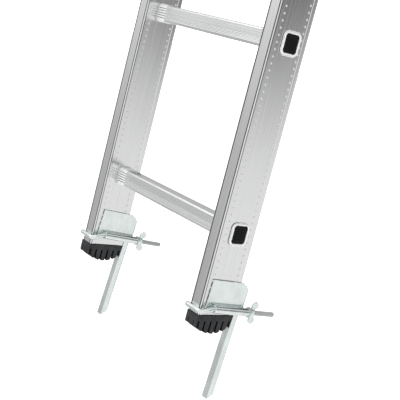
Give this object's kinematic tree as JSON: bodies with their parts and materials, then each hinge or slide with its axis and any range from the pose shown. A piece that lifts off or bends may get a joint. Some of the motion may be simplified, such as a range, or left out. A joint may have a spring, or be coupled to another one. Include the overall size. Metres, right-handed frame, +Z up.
{
  "type": "extension ladder",
  "caption": "Push-up extension ladder in aluminium: base and fly sections with box stiles and ribbed rungs, rung hooks, rubber feet and clamp-on ground spikes.",
  "frame": {"origin": "bottom centre of the bounding box, level with the lower spike's tip", "axes": "+Z up along the stiles, +X to the right-hand stile, -Y to the climber's side"},
  "size_m": [0.3654, 0.2138, 2.6351],
  "materials": {
    "stile_aluminium": "brushed along the stile, satin, mill finish",
    "rung_aluminium": "extruded with fine lengthwise ribs, satin",
    "guide_aluminium": "pressed aluminium, satin",
    "zinc_plate": "bright zinc plated steel, slightly blue-green, smooth",
    "hook_steel": "zinc plated steel",
    "black_rubber": "moulded, matt, grooved",
    "black_plastic": "moulded, half matt"
  },
  "bodies": {
    "base": {"base_stile_left": "stile_aluminium", "foot_left": "black_rubber", "base_top_cap_left": "black_plastic", "base_guide_left": "guide_aluminium", "base_plug_left_1": "black_plastic", "base_plug_left_2": "black_plastic", "base_plug_left_3": "black_plastic", "base_plug_left_4": "black_plastic", "base_plug_left_5": "black_plastic", "base_plug_left_6": "black_plastic", "base_stile_right": "stile_aluminium", "foot_right": "black_rubber", "base_top_cap_right": "black_plastic", "base_guide_right": "guide_aluminium", "base_plug_right_1": "black_plastic", "base_plug_right_2": "black_plastic", "base_plug_right_3": "black_plastic", "base_plug_right_4": "black_plastic", "base_plug_right_5": "black_plastic", "base_plug_right_6": "black_plastic", "base_rung_1": "rung_aluminium", "base_rung_2": "rung_aluminium", "base_rung_3": "rung_aluminium", "base_rung_4": "rung_aluminium", "base_rung_5": "rung_aluminium", "base_rung_6": "rung_aluminium"},
    "fly": {"fly_stile_left": "stile_aluminium", "fly_bottom_cap_left": "black_plastic", "fly_top_cap_left": "black_plastic", "fly_guide_left": "guide_aluminium", "hook_pin_left": "hook_steel", "fly_stile_right": "stile_aluminium", "fly_bottom_cap_right": "black_plastic", "fly_top_cap_right": "black_plastic", "fly_guide_right": "guide_aluminium", "hook_pin_right": "hook_steel", "fly_rung_1": "rung_aluminium", "fly_rung_2": "rung_aluminium", "fly_rung_3": "rung_aluminium", "fly_rung_4": "rung_aluminium", "fly_rung_5": "rung_aluminium", "fly_rung_6": "rung_aluminium"},
    "rung_hook_left": {"rung_hook_left": "hook_steel"},
    "spike_left": {"spike_holder_left": "zinc_plate", "spike_bar_left": "zinc_plate", "spike_sleeve_left": "zinc_plate", "washer_left": "zinc_plate"},
    "wing_nut_left": {"wing_nut_left": "zinc_plate"},
    "hook_bolt_left": {"hook_bolt_left": "zinc_plate"},
    "rung_hook_right": {"rung_hook_right": "hook_steel"},
    "spike_right": {"spike_holder_right": "zinc_plate", "spike_bar_right": "zinc_plate", "spike_sleeve_right": "zinc_plate", "washer_right": "zinc_plate"},
    "wing_nut_right": {"wing_nut_right": "zinc_plate"},
    "hook_bolt_right": {"hook_bolt_right": "zinc_plate"}
  },
  "joints": [
    {"name": "fly_slide", "type": "slide", "parent": "base", "child": "fly", "axis": [0, 0, 1], "range_m": [-0.84, 0]},
    {"name": "rung_hook_left_pivot", "type": "hinge", "parent": "fly", "child": "rung_hook_left", "pos_m": [-0.1277, -0.05061, 1.1308], "axis": [1, 0, 0], "range_deg": [0, 100]},
    {"name": "rung_hook_right_pivot", "type": "hinge", "parent": "fly", "child": "rung_hook_right", "pos_m": [0.1193, -0.05061, 1.1308], "axis": [1, 0, 0], "range_deg": [0, 100]},
    {"name": "spike_left_slide", "type": "slide", "parent": "base", "child": "spike_left", "axis": [0, 0.0419, 0.9991], "range_m": [-0.0035, 0.007]},
    {"name": "wing_nut_left_turn", "type": "hinge", "parent": "spike_left", "child": "wing_nut_left", "pos_m": [-0.1421, 0.0363, 0.15147], "axis": [0, 0.9965, -0.0837], "range_deg": [0, 2161]},
    {"name": "hook_bolt_left_slide", "type": "slide", "parent": "spike_left", "child": "hook_bolt_left", "axis": [0, 0.9965, -0.0837], "range_m": [-0.0075, 0]},
    {"name": "spike_right_slide", "type": "slide", "parent": "base", "child": "spike_right", "axis": [0, 0.0297, 0.9996], "range_m": [-0.0035, 0.007]},
    {"name": "wing_nut_right_turn", "type": "hinge", "parent": "spike_right", "child": "wing_nut_right", "pos_m": [0.1749, 0.0356, 0.14599], "axis": [0, 0.9982, -0.0593], "range_deg": [0, 2161]},
    {"name": "hook_bolt_right_slide", "type": "slide", "parent": "spike_right", "child": "hook_bolt_right", "axis": [0, 0.9982, -0.0593], "range_m": [-0.0075, 0]}
  ],
  "couplings": [
    {"joint": "wing_nut_left_turn", "follows": "hook_bolt_left_slide", "rad_per_m": -5026.5},
    {"joint": "wing_nut_right_turn", "follows": "hook_bolt_right_slide", "rad_per_m": -5026.5}
  ]
}
